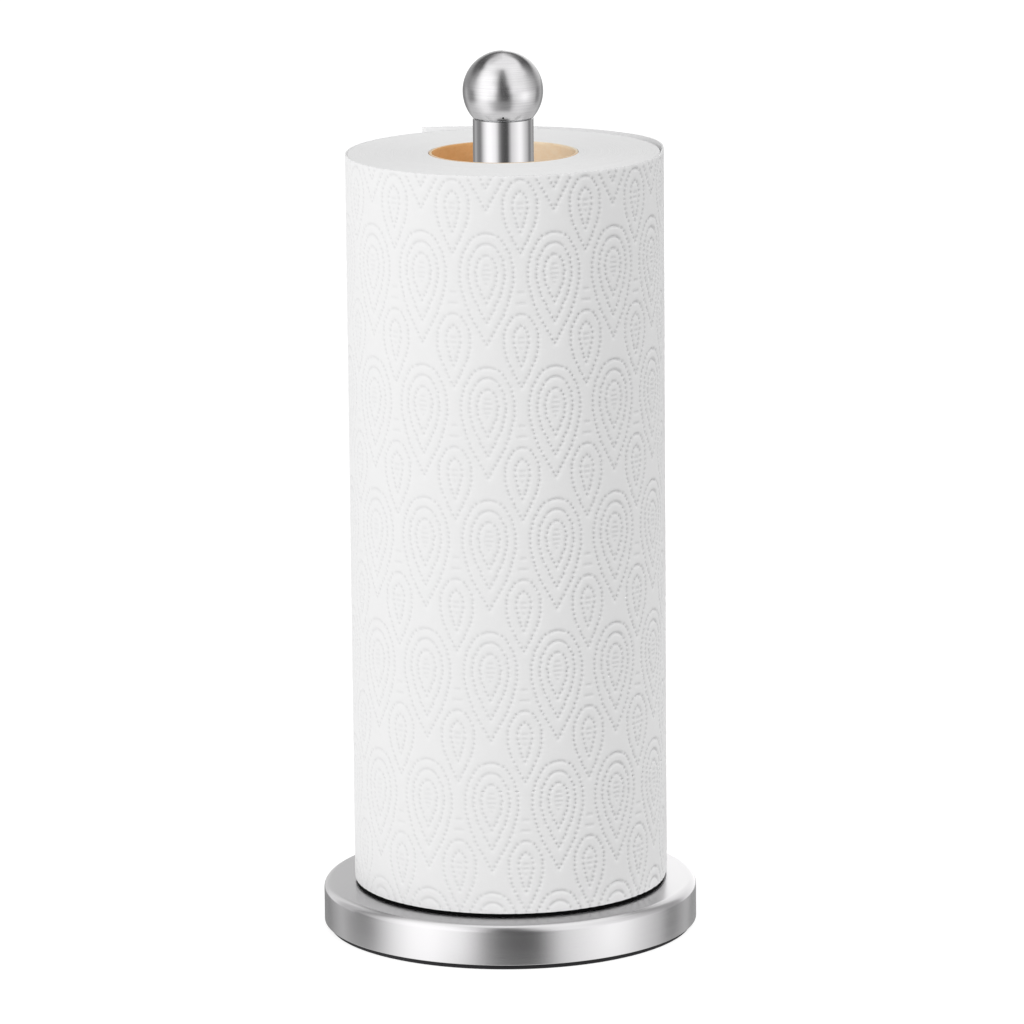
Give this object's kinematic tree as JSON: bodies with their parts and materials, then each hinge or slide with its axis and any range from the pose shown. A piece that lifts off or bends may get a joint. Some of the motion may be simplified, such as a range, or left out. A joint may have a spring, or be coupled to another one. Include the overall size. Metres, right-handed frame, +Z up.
{
  "type": "paper towel holder",
  "caption": "Upright paper towel holder: weighted round stainless base, central post, ball finial, and a full roll of embossed paper towel that spins on the post and lifts off over the ball.",
  "frame": {"origin": "on the table, under the centre of the base and of the post", "axes": "+Z up along the post; +X to the right and +Y to the back, where the outer sheet's free end is"},
  "size_m": [0.1426, 0.1426, 0.3363],
  "materials": {
    "satin_stainless": "satin, brushed round the axis",
    "plated_steel": "zinc plated, inside",
    "cast_iron": "as cast, black",
    "black_rubber": "matt",
    "cardboard": "spiral wound, uncoated",
    "white_paper": "soft, embossed"
  },
  "bodies": {
    "holder": {"non_slip_pad": "black_rubber", "base_weight": "cast_iron", "base_shell": "satin_stainless", "roll_pad": "black_rubber", "post_tube": "satin_stainless", "foot_insert": "plated_steel", "post_bolt": "plated_steel", "bolt_washer": "plated_steel", "bolt_lock_washer": "plated_steel", "top_insert": "plated_steel", "finial_stud": "plated_steel", "finial_ball": "satin_stainless", "ball_boss": "plated_steel"},
    "core": {"roll_core": "cardboard"},
    "paper": {"roll_paper": "white_paper", "outer_sheet": "white_paper"}
  },
  "joints": [
    {"name": "roll_lift", "type": "slide", "parent": "holder", "child": "core", "axis": [0, 0, 1], "range_m": [0, 0.33]},
    {"name": "roll_spin", "type": "hinge", "parent": "core", "child": "paper", "pos_m": [0, 0, 0.0187], "axis": [0, 0, 1], "continuous": true}
  ]
}
